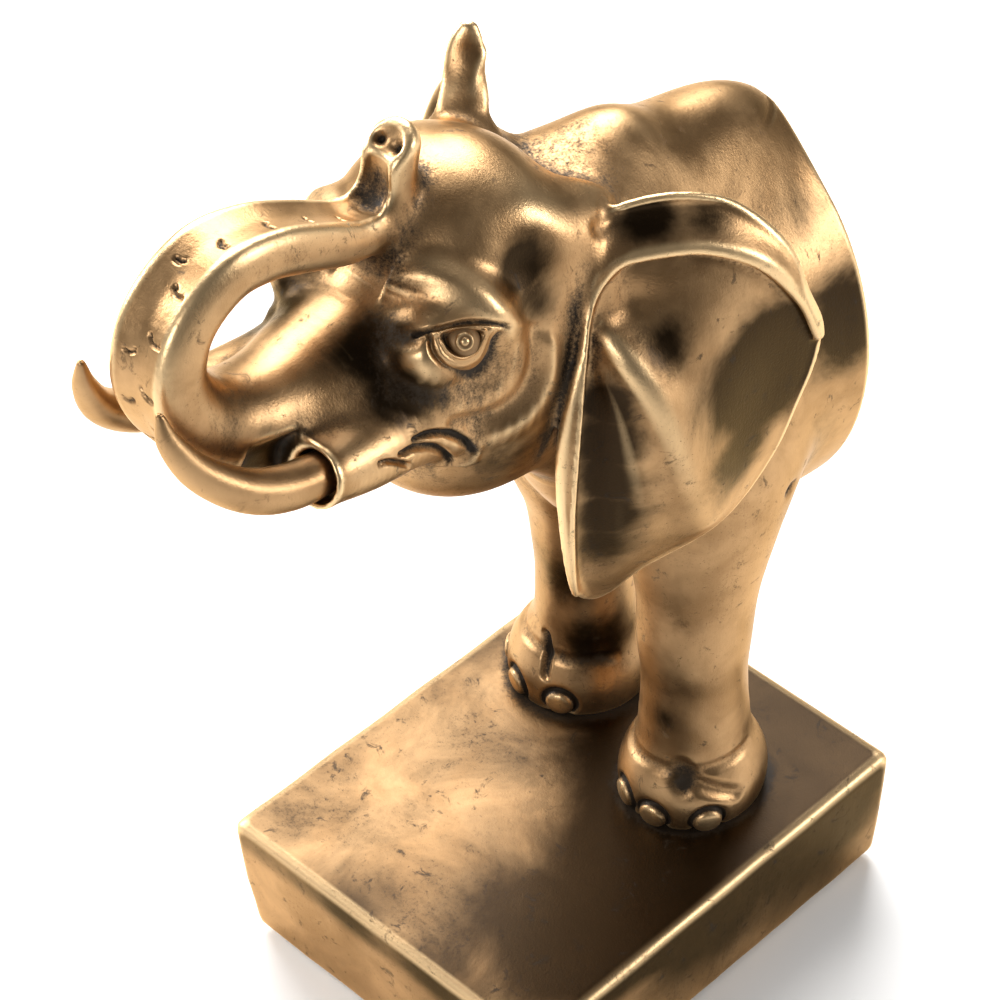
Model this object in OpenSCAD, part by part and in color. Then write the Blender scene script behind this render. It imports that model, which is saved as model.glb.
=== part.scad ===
// Elephant bookend: the front half of an elephant with a raised, curled trunk
// standing on a weighted block. Millimetres, +Z up, origin at the centre of
// the block's underside. The elephant faces -Y, its left side is +X, and the
// books stand against the flat back at +Y.

/* [Base] */
// Width of the block, left to right
base_w = 88; // [84:1:96]
// Depth of the block, front to back
base_d = 110; // [104:1:116]
// Height of the block's top above the shelf
base_h = 34; // [32:1:38]
// Radius of the block's edges
base_edge = 2; // [1:0.5:3]
// Thickness of the felt under the block
felt_t = 1.5; // [1:0.5:2]

/* [Ballast] */
// Width of the cavity under the block
cavity_w = 60; // [50:1:62]
// Depth of the cavity, front to back
cavity_d = 82; // [70:1:84]
// Thickness of the block's top over the cavity
roof_t = 10; // [8:1:12]
// Height of the iron ballast
ballast_h = 11; // [8:1:12]
// Thickness of the plate that closes the cavity
plate_t = 2.5; // [2:0.5:3]

/* [Legs] */
// Diameter of the threaded rod in each leg
rod_d = 5; // [4:1:6]
// Height at which the legs meet the body
hip_z = 106; // [100:1:110]

/* [Body] */
// Half the width of the body at the flat back
body_half_w = 32; // [28:1:34]
// Place of the flat joint between body and head
neck_y = -4; // [-6:1:-2]
// Diameter of the dowel across the neck joint
dowel_d = 10; // [8:1:12]

/* [Head] */
// Half the width of the head at the cheeks
head_half_w = 25; // [23:0.5:26]
// Thickness of the ears
ear_t = 2.4; // [2:0.2:3]
// Radius of the eyeballs
eye_r = 4.2; // [3.8:0.2:4.6]
// Radius of a tusk where it leaves its sheath
tusk_r = 4.4; // [4:0.2:4.6]
// Diameter of the wire inside the trunk
wire_d = 3; // [2:0.5:4]

/* [Hidden] */

gold = "#b98d52";
bronze = "#8f6a3c";
steel = "#9aa0a6";
iron = "#4a4b4d";

back_y = base_d / 2;
lap = 0.01;                       // a cut runs this far past a face
plate_z = felt_t;
plate_w = cavity_w + 12;
plate_d = cavity_d + 12;
cavity_z = plate_z + plate_t;
cavity_roof = base_h - roof_t;
screw_x = cavity_w / 2 + 3;
screw_y = cavity_d / 2 + 3;
screw_r = 1.5;
screw_head_r = 2.8;
screw_len = 12;

washer_r = 7.5;
washer_t = 1.2;
nut_r = 4.6;
nut_t = 4;
rod_low = cavity_roof - washer_t - nut_t - 1;
rod_high = 128;
left_rod = [18.2, 21];
right_rod = [-20, 29];

// ---- curves and skins -------------------------------------------------

// Value of a smooth curve through the rows of a table, with t from 0 to 1
function cubic(a, b, c, d, u) =
    0.5 * (2 * b + (c - a) * u + (2 * a - 5 * b + 4 * c - d) * u * u
    + (3 * b - a - 3 * c + d) * u * u * u);
function row_at(rows, i) =
    i < 0 ? 2 * rows[0] - rows[1]
    : i >= len(rows) ? 2 * rows[len(rows) - 1] - rows[len(rows) - 2]
    : rows[i];
function along(rows, t) =
    let(s = t * (len(rows) - 1), i = min(floor(s), len(rows) - 2))
    cubic(row_at(rows, i - 1), rows[i], rows[i + 1], row_at(rows, i + 2), s - i);
function place(row) = [row[0], row[1], row[2]];
function unit(v) = v / norm(v);

// One oval ring: n points round a centre, on the plane of two directions
function ring(centre, side, rise, half_w, half_h, n) =
    [for (k = [0 : n - 1]) centre + side * half_w * cos(360 * k / n) + rise * half_h * sin(360 * k / n)];

// Rings along a path whose rows are x, y, z, half width, half height.
// The half width stays along X, and each ring is square to the path.
function path_ring(rows, t, n) =
    let(
        here = along(rows, t),
        ahead = unit(place(along(rows, min(t + 0.01, 1))) - place(along(rows, max(t - 0.01, 0)))),
        side = unit([1, 0, 0] - ahead[0] * ahead)
    )
    ring(place(here), side, cross(ahead, side), here[3], here[4], n);
function path_rings(rows, steps, n) = [for (i = [0 : steps]) path_ring(rows, i / steps, n)];

// Upright rings whose rows are y, half width, low z, high z
function upright_ring(rows, t, n) =
    let(here = along(rows, t))
    ring([0, here[0], (here[2] + here[3]) / 2], [1, 0, 0], [0, 0, 1], here[1], (here[3] - here[2]) / 2, n);
function upright_rings(rows, steps, n) = [for (i = [0 : steps]) upright_ring(rows, i / steps, n)];

// A closed skin over a list of rings that all have the same number of points
module skin(rings) {
    n = len(rings[0]);
    last = len(rings) - 1;
    polyhedron([for (r = rings, p = r) p], concat(
        [[for (k = [0 : n - 1]) k]],
        [[for (k = [n - 1 : -1 : 0]) last * n + k]],
        [for (i = [0 : last - 1], k = [0 : n - 1]) [i * n + k, i * n + n + k, i * n + (k + 1) % n]],
        [for (i = [0 : last - 1], k = [0 : n - 1])
            [i * n + (k + 1) % n, i * n + n + k, i * n + n + (k + 1) % n]]));
}

// An egg-shaped swelling with three half sizes
module swelling(centre, half_sizes, tilt = [0, 0, 0]) {
    translate(centre)
        rotate(tilt)
            hull()
                scale(half_sizes)
                    sphere(1, $fn = 18);
}

module on_both_sides() {
    children();
    mirror([1, 0, 0])
        children();
}
// ---- the block ---------------------------------------------------------

module rounded_rect(w, h, r) {
    square([w - 2 * r, h], center = true);
    square([w, h - 2 * r], center = true);
    for (x = [-1, 1], y = [-1, 1])
        translate([x * (w / 2 - r), y * (h / 2 - r)])
            circle(r, $fn = 32);
}

module block_solid() {
    tall = base_h - plate_z;
    middle = plate_z + tall / 2;
    intersection() {
        translate([0, 0, plate_z])
            linear_extrude(tall)
                rounded_rect(base_w, base_d, base_edge + 1);
        translate([0, back_y + 1, middle])
            rotate([90, 0, 0])
                linear_extrude(base_d + 2)
                    rounded_rect(base_w, tall, base_edge);
        translate([-base_w / 2 - 1, 0, middle])
            rotate([90, 0, 90])
                linear_extrude(base_w + 2)
                    rounded_rect(base_d, tall, base_edge);
    }
}

module box(w, d, low, high) {
    translate([-w / 2, -d / 2, low])
        cube([w, d, high - low]);
}

module at_screws() {
    for (x = [-1, 1], y = [-1, 1])
        translate([x * screw_x, y * screw_y, plate_z])
            children();
}

module at_rods() {
    for (place = [left_rod, right_rod])
        translate([place[0], place[1], 0])
            children();
}

module plinth() {
    color(bronze)
        difference() {
            block_solid();
            box(plate_w, plate_d, plate_z - 1, cavity_z);
            box(cavity_w, cavity_d, cavity_z - 1, cavity_roof);
            at_screws()
                cylinder(screw_len, screw_r, screw_r, $fn = 24);
            at_rods()
                translate([0, 0, cavity_roof - 1])
                    cylinder(roof_t + 2, rod_d / 2, rod_d / 2, $fn = 32);
        }
}

module ballast() {
    color(iron)
        box(cavity_w - 1, cavity_d - 1, cavity_z, cavity_z + ballast_h);
}

module screw() {
    cylinder(plate_t, screw_head_r, screw_r, $fn = 32);
    cylinder(screw_len, screw_r, screw_r, $fn = 24);
}

module bottom_plate() {
    color(steel)
        difference() {
            box(plate_w, plate_d, plate_z, cavity_z);
            at_screws()
                screw();
        }
}

module plate_screws() {
    color(steel)
        at_screws()
            screw();
}

module felt_pad() {
    inset = 2 * base_edge;
    color("#2f4a3a")
        linear_extrude(felt_t)
            rounded_rect(base_w - inset, base_d - inset, base_edge);
}

// ---- legs and body -----------------------------------------------------

// Each row is x, y, z, half width, half depth, from the sole to the hip
left_leg_rows = [
    [18, 20.5, base_h, 13.6, 15], [18, 20.5, 38, 15, 16.2], [18, 20.6, 43, 14.2, 15.2],
    [17.8, 21, 49, 11.4, 12], [17.7, 21, 54, 10.9, 11.2], [18, 20.4, 64, 11, 11.3],
    [18.4, 19.6, 76, 11.4, 12], [18.8, 20.6, 90, 12.4, 14], [19, 22, hip_z, 14, 17.5]];
right_leg_rows = [
    [-22, 28.6, base_h, 14, 14.6], [-22, 28.6, 38, 15.4, 15.8], [-21.8, 28.6, 43, 14.4, 14.8],
    [-20.6, 28.6, 49, 11.4, 11.8], [-19.9, 28.4, 54, 10.8, 11], [-19.6, 27.6, 64, 10.9, 11.2],
    [-19.2, 27, 76, 11.3, 12], [-19, 26.6, 90, 12.4, 14], [-19, 26, hip_z, 14, 17]];

module toenails(rows) {
    foot = rows[1];
    for (turn = [-150, -112, -75, -38, 0])
        translate([
            foot[0] + (foot[3] - 0.6) * cos(turn),
            foot[1] + (foot[4] - 0.6) * sin(turn),
            base_h + 4.2])
            rotate([0, 0, turn])
                hull()
                    scale([1.9, 3.8, 3.9])
                        sphere(1, $fn = 14);
}

module leg_form(rows) {
    difference() {
        union() {
            skin(path_rings(rows, 18, 24));
            toenails(rows);
        }
        box(base_w, base_d, 0, base_h);
        box(base_w, base_d, hip_z, hip_z + 20);
    }
}

module rods() {
    at_rods()
        translate([0, 0, rod_low])
            cylinder(rod_high - rod_low, rod_d / 2, rod_d / 2, $fn = 32);
}

module foreleg(rows) {
    color(gold)
        difference() {
            leg_form(rows);
            rods();
        }
}
module left_foreleg() { foreleg(left_leg_rows); }
module right_foreleg() { foreleg(right_leg_rows); }

module leg_rods() {
    color(steel)
        rods();
}

module leg_washers() {
    color(steel)
        at_rods()
            translate([0, 0, cavity_roof - washer_t])
                difference() {
                    cylinder(washer_t, washer_r, washer_r, $fn = 48);
                    translate([0, 0, -1])
                        cylinder(washer_t + 2, rod_d / 2, rod_d / 2, $fn = 32);
                }
}

module leg_nuts() {
    color(steel)
        at_rods()
            translate([0, 0, cavity_roof - washer_t - nut_t])
                difference() {
                    cylinder(nut_t, nut_r, nut_r, $fn = 6);
                    translate([0, 0, -1])
                        cylinder(nut_t + 2, rod_d / 2, rod_d / 2, $fn = 32);
                }
}

// Each row is y, half width, low z, high z, from the flat back to the neck
body_rows = [
    [back_y, body_half_w, 91, 183], [44, body_half_w + 1, 90, 185], [32, body_half_w + 1, 90, 188],
    [20, body_half_w, 93, 193], [10, 29.5, 101, 196.5], [2, 26.5, 113, 196], [neck_y, 24.5, 124, 194]];

module body_form() {
    intersection() {
        union() {
            skin(upright_rings(body_rows, 16, 36));
            swelling([0, 10, 178], [15, 17, 20]);
            swelling([0, 34, 172], [13, 22, 17]);
            on_both_sides() {
                swelling([19, 27, 118], [14.5, 18.5, 28]);
                swelling([20, 10, 150], [11, 14, 30]);
                swelling([19, 38, 106], [8, 8, 8]);
            }
        }
        translate([-60, neck_y, 0])
            cube([120, back_y - neck_y, 260]);
    }
}

module neck_pin() {
    translate([0, neck_y + 20, 162])
        rotate([90, 0, 0])
            cylinder(40, dowel_d / 2, dowel_d / 2, $fn = 32);
}

module torso() {
    color(gold)
        difference() {
            body_form();
            leg_form(left_leg_rows);
            leg_form(right_leg_rows);
            box(base_w + 20, base_d, 60, 90);
            rods();
            neck_pin();
        }
}

module neck_dowel() {
    color("#c9a36b")
        neck_pin();
}

// ---- head --------------------------------------------------------------

// Each row is y, half width, low z, high z, from the neck to the trunk's root
snout_y = -74;
head_rows = [
    [neck_y, 24.5, 124, 194], [-12, head_half_w, 129, 206], [-22, head_half_w, 137, 216],
    [-32, head_half_w - 0.5, 145, 219.5], [-42, 22.5, 153, 216], [-50, 19.5, 160.5, 209.5],
    [-58, 16.2, 167, 204], [-66, 13.2, 173, 201], [snout_y, 11.4, 177.5, 200]];

// Each row is x, y, z, half width, half height, from the socket to the point
tusk_rows = [
    [14.6, -66, 182.6, tusk_r, tusk_r], [15.2, -74, 184.2, tusk_r, tusk_r],
    [15.6, -83, 186.6, tusk_r - 0.1, tusk_r - 0.1], [14.8, -92, 191.4, tusk_r - 0.6, tusk_r - 0.6],
    [12.6, -99.6, 199, tusk_r - 1.3, tusk_r - 1.3], [10.6, -103.8, 207, tusk_r - 2.4, tusk_r - 2.4],
    [9.8, -104.6, 213.5, 0.7, 0.7]];
sheath_rows = [
    [11.5, -52, 179.5, 9, 9], [13.6, -62, 181.6, 7.6, 7.6], [15, -71, 183.4, 6.4, 6.4],
    [15.5, -76.5, 184.6, 6, 6]];
eye_place = [20, -46.5, 199.5];

// Each row is x, y, z, half width, half height, from the face to the tip
trunk_rows = [
    [0, -68, 188, 12, 11], [0, -76, 189.6, 11, 10], [0, -85, 193.6, 9.6, 8.8],
    [0, -92.6, 201.5, 8.9, 7.8], [0, -95.6, 211.5, 8.5, 7.2], [0, -92, 221, 8.3, 6.8],
    [0, -83, 226.4, 8, 6.4], [0, -73, 225, 7.6, 6], [0, -63, 220.5, 7.1, 5.6], [0, -54, 216, 6.4, 5],
    [0, -47.5, 215.5, 5.8, 4.7], [0, -43, 220, 5.3, 4.5], [0, -40.6, 229.5, 5.2, 4.8]];
wire_rows = concat([[0, -54, 186, wire_d / 2, wire_d / 2]],
    [for (i = [0 : len(trunk_rows) - 3]) [0, trunk_rows[i][1], trunk_rows[i][2], wire_d / 2, wire_d / 2]]);

module tusk_form() {
    skin(path_rings(tusk_rows, 18, 12));
}

module head_form() {
    intersection() {
        union() {
            skin(upright_rings(head_rows, 20, 32));
            swelling([0, -30, 200], [22.5, 19, 21]);
            on_both_sides() {
                swelling([15, -26, 170], [11, 20, 24], [-25, 0, 0]);
                swelling([13, -43, 203.5], [8.5, 9, 6.5], [0, 0, -25]);
                swelling([15.5, -46, 198], [6.5, 9, 8]);
                swelling([13, -17, 202], [9, 11, 9]);
                swelling([20, -12, 184], [6, 8, 18]);
                swelling([11, -50, 177], [9, 14, 9], [-20, 0, 0]);
                skin(path_rings(sheath_rows, 6, 18));
            }
        }
        translate([-60, -120, 0])
            cube([120, 120 + neck_y, 260]);
    }
}

module eye_sockets() {
    on_both_sides()
        translate(eye_place)
            sphere(eye_r, $fn = 20);
}

module head() {
    color(gold)
        difference() {
            head_form();
            neck_pin();
            eye_sockets();
            on_both_sides()
                tusk_form();
            wire_form();
        }
}

module wire_form() {
    skin(path_rings(wire_rows, 32, 8));
}

module trunk() {
    color(gold)
        difference() {
            skin(path_rings(trunk_rows, 44, 16));
            head_form();
            wire_form();
            nostrils();
        }
}

module nostrils() {
    tip = trunk_rows[len(trunk_rows) - 1];
    on_both_sides()
        translate([2.4, tip[1] + 0.3, tip[2] - 3])
            rotate([-14, 0, 0])
                cylinder(6, 1.2, 1.2, $fn = 12);
}

module trunk_wire() {
    color(steel)
        wire_form();
}

module left_tusk() {
    color("#c39a5c")
        tusk_form();
}
module right_tusk() {
    mirror([1, 0, 0])
        left_tusk();
}

module left_eye() {
    color(bronze)
        translate(eye_place)
            sphere(eye_r, $fn = 32);
}
module right_eye() {
    mirror([1, 0, 0])
        left_eye();
}

// ---- ears --------------------------------------------------------------

// An ear is a thin sheet over an upright plane that turns out from the head.
// On that plane u runs back and outwards, and v runs up.
ear_turn = 34;
ear_root = [22, -16, 165];
ear_back = [sin(ear_turn), cos(ear_turn), 0];
ear_out = [cos(ear_turn), -sin(ear_turn), 0];
ear_middle = [16, -2];
ear_edge = [[1.5, 34], [5, 39.5], [13.5, 40.5], [22.5, 39], [31, 34.5], [38, 26], [42, 16], [45.5, 6],
    [45.5, -3], [42, -13], [38, -23], [31, -32], [22, -37], [10, -41], [4.5, -47], [0, -48], [-4, -41],
    [-7.2, -28], [-8.8, -12], [-8.6, 0], [-6.5, 10], [-2.5, 22]];

far_ear_edge = concat(
    [[0.5, 36], [4, 46], [10.5, 53], [17, 49], [28, 39]],
    [for (i = [5 : len(ear_edge) - 1]) ear_edge[i]]);

function closed_along(points, t) =
    let(n = len(points), s = t * n, i = floor(s))
    cubic(points[(i + n - 1) % n], points[i % n], points[(i + 1) % n], points[(i + 2) % n], s - i);
function step_up(low, high, x) = let(s = min(max((x - low) / (high - low), 0), 1)) s * s * (3 - 2 * s);
function bell(x, width) = exp(-x * x / (2 * width * width));

// Height of the fold line across the top of the ear, and of the two ribs
function fold_v(u) = 30 - 26 * pow(max(u - 14, 0) / 31, 2) - 8 * pow(max(8 - u, 0) / 9, 2);
function rib_u(v, lean) = lean * pow((22 - v) / 50, 0.8);

// How far the sheet stands out from its plane
function ear_bend(u, v) =
    let(tall = v - max(v - 38, 0) / 2)
    9.9 + u / 20 - tall / 5.2 + u * tall / 200 - u * u / 113 - tall * tall / 123;
function ear_relief(u, v) =
    2.6 * step_up(-1, 2, v - fold_v(u))
    + (v < 20 ? 2.2 * bell(u - 4 - rib_u(v, 18), 3) + 1.5 * bell(u - 3 - rib_u(v, 7), 1.8) : 0)
    - 2.4 * bell(u - 35, 8) * bell(v + 2, 13)
    + 2 * bell(u + 9, 2.2) * bell(v + 8, 20);
function ear_point(u, v, lift) =
    ear_root + ear_back * u + [0, 0, v] + ear_out * (ear_bend(u, v) + ear_relief(u, v) + lift);
function ear_ring(edge, share, lift) =
    [for (k = [0 : 35])
        let(p = ear_middle + share * (closed_along(edge, k / 36) - ear_middle))
        ear_point(p[0], p[1], lift)];

module ear_form(edge) {
    shares = [0.03, 0.22, 0.4, 0.56, 0.7, 0.83, 0.94];
    skin(concat(
        [for (s = shares) ear_ring(edge, s, ear_t / 2)],
        [ear_ring(edge, 1, ear_t / 5), ear_ring(edge, 1, -ear_t / 5)],
        [for (i = [len(shares) - 1 : -1 : 0]) ear_ring(edge, shares[i], -ear_t / 2)]));
}

// An ear trimmed where it grows out of the head and body
module ear(edge) {
    color(gold)
        difference() {
            ear_form(edge);
            head_form();
            body_form();
        }
}
module left_ear() { ear(ear_edge); }
module right_ear() {
    mirror([1, 0, 0])
        ear(far_ear_edge);
}

plinth();
ballast();
bottom_plate();
plate_screws();
felt_pad();
torso();
left_foreleg();
right_foreleg();
leg_rods();
leg_nuts();
leg_washers();
neck_dowel();
head();
trunk();
trunk_wire();
left_ear();
right_ear();
left_tusk();
right_tusk();
left_eye();
right_eye();
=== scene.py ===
"""The looks of the elephant bookend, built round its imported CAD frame."""

import math

import bmesh
import bpy
import numpy as np
from mathutils import Euler, Matrix, Vector


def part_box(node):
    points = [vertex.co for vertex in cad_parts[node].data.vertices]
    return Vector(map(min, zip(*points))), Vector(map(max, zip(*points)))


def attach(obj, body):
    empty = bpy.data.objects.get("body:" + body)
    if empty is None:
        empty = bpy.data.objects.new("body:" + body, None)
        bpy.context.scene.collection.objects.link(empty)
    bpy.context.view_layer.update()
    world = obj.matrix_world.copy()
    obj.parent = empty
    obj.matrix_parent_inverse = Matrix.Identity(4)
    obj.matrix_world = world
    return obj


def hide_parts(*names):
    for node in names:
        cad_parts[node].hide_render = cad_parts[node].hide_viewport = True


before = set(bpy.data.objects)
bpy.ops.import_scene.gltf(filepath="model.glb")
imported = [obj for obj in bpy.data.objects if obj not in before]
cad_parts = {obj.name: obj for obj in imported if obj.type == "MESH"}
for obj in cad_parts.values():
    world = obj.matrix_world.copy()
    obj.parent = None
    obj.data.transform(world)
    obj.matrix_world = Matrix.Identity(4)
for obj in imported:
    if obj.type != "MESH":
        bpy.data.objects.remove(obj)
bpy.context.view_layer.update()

MM = 0.001
GRID = 0.6


# ---------------------------------------------------------------- sculpting
# The elephant is sculpted as a distance field on a grid of points: negative inside, positive
# outside, in millimetres. Forms are blended in, folds are cut, and one skin is drawn over it.

FAR = 9.0             # the field's value where nothing is near
REACH = 5.0           # how far round a form the field is kept true
BODY, LEFT_LEG, RIGHT_LEG, HEAD, TRUNK, LEFT_EAR, RIGHT_EAR = range(7)


def smooth_curve(points, count):
    """Points along a Catmull-Rom curve through the rows of a table."""
    p = np.asarray(points, float)
    p = np.vstack([2 * p[0] - p[1], p, 2 * p[-1] - p[-2]])
    spans = len(p) - 3
    t = np.linspace(0, spans, count)
    i = np.minimum(t.astype(int), spans - 1)
    return blend_four(p[i], p[i + 1], p[i + 2], p[i + 3], (t - i)[:, None])


def closed_curve(points, count):
    """Points round a closed Catmull-Rom curve."""
    p = np.asarray(points, float)
    n = len(p)
    t = np.linspace(0, n, count, endpoint=False)
    i = t.astype(int)
    return blend_four(p[(i - 1) % n], p[i], p[(i + 1) % n], p[(i + 2) % n], (t - i)[:, None])


def blend_four(a, b, c, d, u):
    """The cubic between b and c, with a and d outside them."""
    return 0.5 * (2 * b + (c - a) * u + (2 * a - 5 * b + 4 * c - d) * u**2 + (3 * b - a - 3 * c + d) * u**3)


def ramp(low, high, x):
    """0 below low, 1 above high and a smooth step between. It runs the other way where low is above high."""
    s = np.clip((x - low) / (high - low), 0, 1)
    return s * s * (3 - 2 * s)


def bell(x, width):
    """1 at x = 0, falling away smoothly on both sides."""
    return np.exp(-(x * x) / (2 * width * width))


def join(a, b, soft):
    """The union of two fields, rounded over a width of soft."""
    if soft <= 0:
        return np.minimum(a, b)
    h = np.maximum(soft - np.abs(a - b), 0) / soft
    return np.minimum(a, b) - h * h * soft * 0.25


def from_piece(points, a, b):
    """Squared distance from each point to the straight line from a to b, and how far along it, 0 to 1."""
    e = b - a
    t = np.clip((points - a) @ e / (e @ e), 0, 1)
    return ((points - a - t[:, None] * e) ** 2).sum(1), t


def line_distance(points, rows, count=40):
    """Distance from each point to a curve, and how far along the curve, 0 to 1."""
    line = smooth_curve(rows, count)
    best = np.full(len(points), 1e9)
    share = np.zeros(len(points))
    for k, (a, b) in enumerate(zip(line, line[1:])):
        d, t = from_piece(points, a, b)
        closer = d < best
        best[closer] = d[closer]
        share[closer] = ((k + t) / (count - 1))[closer]
    return np.sqrt(best), share


def edge_distance(points, loop):
    """Signed distance to a closed outline, negative inside."""
    best = np.full(len(points), 1e9)
    inside = np.zeros(len(points), bool)
    for a, b in zip(loop, np.roll(loop, -1, 0)):
        best = np.minimum(best, from_piece(points, a, b)[0])
        spans = (a[1] <= points[:, 1]) != (b[1] <= points[:, 1])
        rise = b[1] - a[1] if abs(b[1] - a[1]) > 1e-9 else 1e-9
        inside ^= spans & (points[:, 0] < a[0] + (points[:, 1] - a[1]) / rise * (b[0] - a[0]))
    return np.where(inside, -1, 1) * np.sqrt(best)


class Egg:
    """An ellipsoid, turned by three angles in degrees."""

    def __init__(self, centre, half, tilt=(0, 0, 0)):
        self.centre = np.array(centre, np.float32)
        self.half = np.array(half, np.float32)
        self.turn = np.array(Euler([math.radians(v) for v in tilt]).to_matrix(), np.float32)
        spread = np.abs(self.turn) @ self.half
        self.low = self.centre - spread
        self.high = self.centre + spread

    def __call__(self, p):
        q = (p - self.centre) @ self.turn
        near = np.sqrt(((q / self.half) ** 2).sum(-1))
        slope = np.sqrt(((q / self.half**2) ** 2).sum(-1)) + 1e-6
        return near * (near - 1) / slope


class Limb:
    """An oval section swept along a curve. Rows are x, y, z, half width, half height.
    The width lies across `side`, and `back` says how square the section is on its underside.
    A limb that curls back on itself has a `split` station between its two halves."""

    def __init__(self, rows, count, side=(1, 0, 0), back=2.0, split=None):
        s = smooth_curve(rows, count)
        self.line = s[:, :3].astype(np.float32)
        self.width = s[:, 3].astype(np.float32)
        self.height = s[:, 4].astype(np.float32)
        ahead = np.gradient(s[:, :3], axis=0)
        self.gap = float(np.linalg.norm(ahead, axis=1).mean())
        ahead /= np.linalg.norm(ahead, axis=1)[:, None]
        across = np.array(side, float) - (ahead @ np.array(side, float))[:, None] * ahead
        across /= np.linalg.norm(across, axis=1)[:, None]
        self.ahead = ahead.astype(np.float32)
        self.across = across.astype(np.float32)
        self.up = np.cross(ahead, across).astype(np.float32)
        self.back = back
        self.split = split
        reach = np.maximum(self.width, self.height)[:, None]
        self.low = (self.line - reach).min(0)
        self.high = (self.line + reach).max(0)

    def nearest(self, p, first, last):
        """The station nearest to each point, and how far its surface is, as a square."""
        best = np.full(len(p), 1e9, np.float32)
        near = np.zeros(len(p), np.int32)
        for i in range(first, last):
            d = ((p - self.line[i]) ** 2).sum(1)
            closer = d < best
            best[closer] = d[closer]
            near[closer] = i
        return near, best - np.minimum(self.width, self.height)[near] ** 2

    def locate(self, p):
        """For each point: nearest station, and its distances across, up and ahead."""
        count = len(self.line)
        near, gap = self.nearest(p, 0, self.split or count)
        if self.split:
            near_end, end_gap = self.nearest(p, self.split, count)
            near = np.where(end_gap < gap, near_end, near)
        r = p - self.line[near]
        return near, (r * self.across[near]).sum(1), (r * self.up[near]).sum(1), (r * self.ahead[near]).sum(1)

    def __call__(self, p):
        near, u, v, w = self.locate(p.reshape(-1, 3))
        last = len(self.line) - 1
        share = np.clip(w / self.gap, -0.6, 0.6)
        other = np.clip(near + np.sign(share).astype(int), 0, last)
        share = np.abs(share)
        width = self.width[near] * (1 - share) + self.width[other] * share
        height = self.height[near] * (1 - share) + self.height[other] * share
        past = np.where(near == 0, -np.minimum(w, 0), np.where(near == last, np.maximum(w, 0), 0))
        power = np.where(v > 0, 2.0, self.back)
        size = ((np.abs(u) / width) ** power + (np.abs(v) / height) ** power) ** (1 / power)
        thin = np.minimum(width, height).astype(float)
        size = np.sqrt(size**2 + (past / thin) ** 2)
        inset = self.carve(u / width, v / height, (near + np.sign(w) * share) * self.gap)
        return ((size - 1) * thin + inset).reshape(p.shape[:-1])

    def carve(self, across, up, along):
        """How much deeper the surface lies than the plain section, in millimetres."""
        return 0


class Crease:
    """A round ridge along a curve. Rows are x, y, z, radius."""

    def __init__(self, rows, count=24):
        s = smooth_curve(rows, count).astype(np.float32)
        self.line = s[:, :3]
        self.radius = s[:, 3]
        self.low = (self.line - self.radius[:, None]).min(0)
        self.high = (self.line + self.radius[:, None]).max(0)

    def __call__(self, p):
        q = p.reshape(-1, 3)
        best = np.full(len(q), 1e9, np.float32)
        for a, b, ra, rb in zip(self.line, self.line[1:], self.radius, self.radius[1:]):
            d, t = from_piece(q, a, b)
            np.minimum(best, np.sqrt(d) - (ra + (rb - ra) * t), out=best)
        return best.reshape(p.shape[:-1])


class Slab:
    """All the space beyond a plane, on the side that its arrow points to."""

    def __init__(self, arrow, reach):
        self.arrow = np.array(arrow, np.float32)
        self.reach = reach
        self.low = np.full(3, -1e3)
        self.high = np.full(3, 1e3)

    def __call__(self, p):
        return self.reach - p @ self.arrow


class Disc:
    """A short round slug with flat ends."""

    def __init__(self, centre, arrow, radius, half):
        self.centre = np.array(centre, np.float32)
        self.arrow = np.array(arrow, np.float32) / np.linalg.norm(arrow)
        self.radius = radius
        self.half = half
        self.low = self.centre - radius - half
        self.high = self.centre + radius + half

    def __call__(self, p):
        q = p - self.centre
        along = q @ self.arrow
        out = np.sqrt(np.maximum((q * q).sum(-1) - along**2, 0))
        return np.maximum(out - self.radius, np.abs(along) - self.half)


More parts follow.
